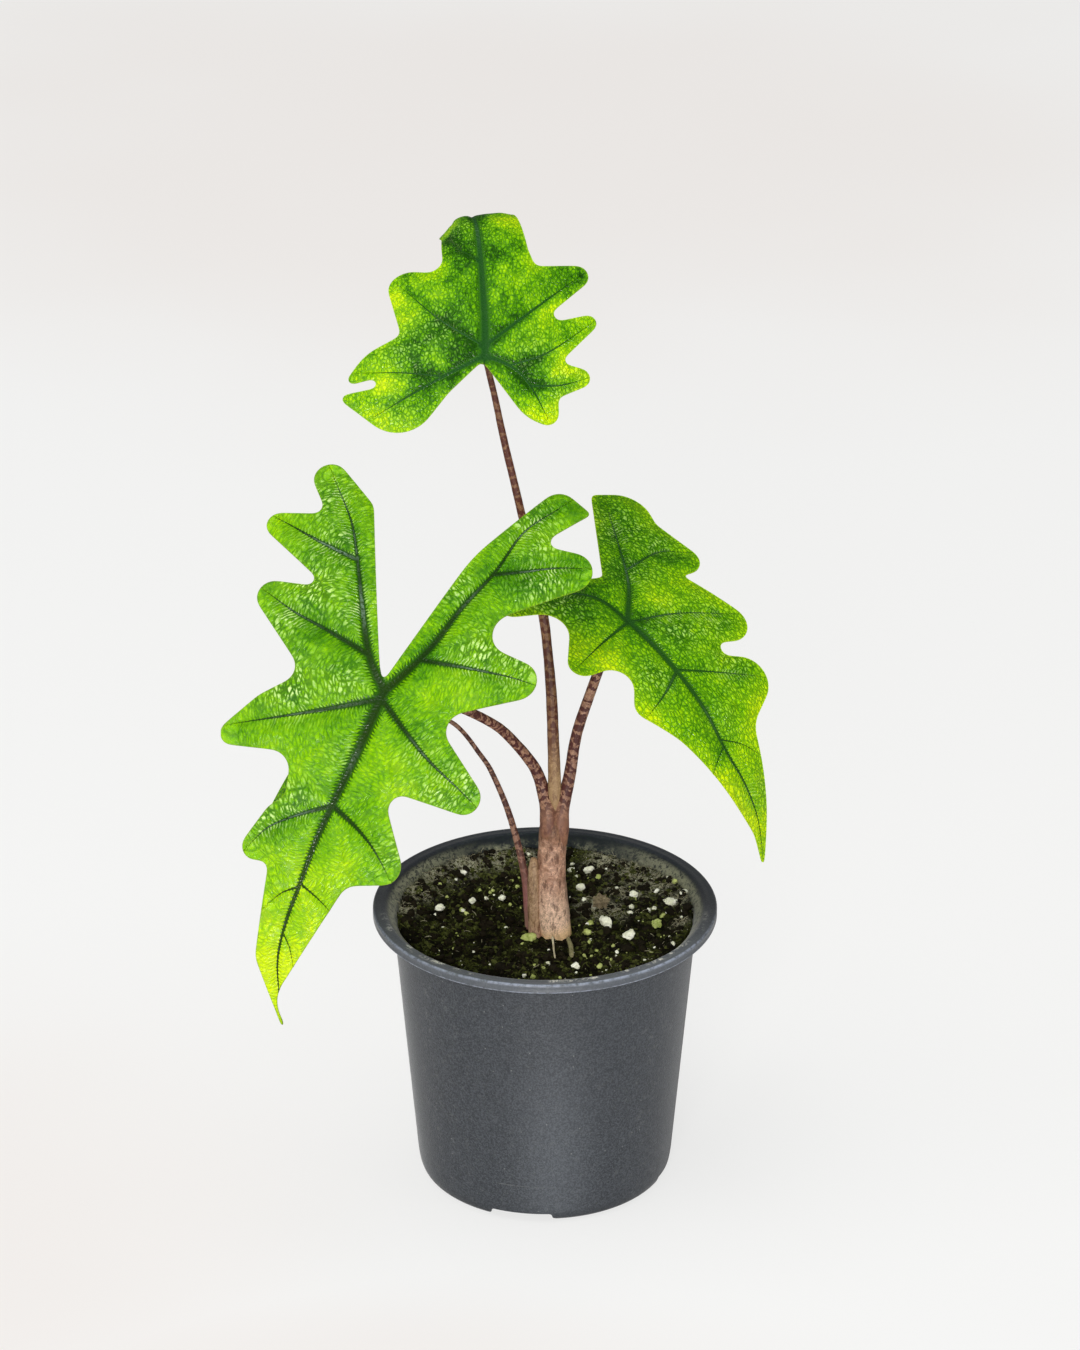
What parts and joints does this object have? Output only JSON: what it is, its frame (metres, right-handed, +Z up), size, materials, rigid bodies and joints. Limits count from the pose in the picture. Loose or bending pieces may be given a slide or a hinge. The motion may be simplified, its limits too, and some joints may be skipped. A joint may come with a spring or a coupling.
{
  "type": "potted houseplant",
  "caption": "Small potted alocasia: deeply lobed leaves on slender stalks, rooted in soil in a plain round nursery pot with a rolled rim and drainage channels.",
  "frame": {"origin": "centre of the pot's flat underside", "axes": "+Z up along the pot's axis; the plant's best side faces -Y; +X to the right of someone who looks at that side"},
  "size_m": [0.1608, 0.1498, 0.2975],
  "materials": {
    "pot_plastic": "smooth satin, dusty on the rim",
    "peat": "crumbly, damp, with patches of moss",
    "stem_skin": "matt, mottled",
    "petiole_skin": "satin, banded with dark maroon",
    "leaf": "glossy and quilted between dark veins",
    "perlite": "rough and porous",
    "bark": "rough, fibrous",
    "pale_root": "matt"
  },
  "bodies": {
    "root": {"pot": "pot_plastic", "potting_soil": "peat", "pseudostem": "stem_skin", "old_sheath_stub": "stem_skin", "petiole_front": "petiole_skin", "petiole_top": "petiole_skin", "petiole_right": "petiole_skin", "petiole_small": "petiole_skin", "blade_front": "leaf", "blade_top": "leaf", "blade_right": "leaf", "blade_small": "leaf", "perlite_01": "perlite", "perlite_02": "perlite", "perlite_03": "perlite", "perlite_04": "perlite", "perlite_05": "perlite", "perlite_06": "perlite", "perlite_07": "perlite", "perlite_08": "perlite", "perlite_09": "perlite", "perlite_10": "perlite", "perlite_11": "perlite", "perlite_12": "perlite", "perlite_13": "perlite", "perlite_14": "perlite", "bark_clump": "bark", "twig": "bark", "aerial_root": "pale_root"}
  },
  "joints": []
}
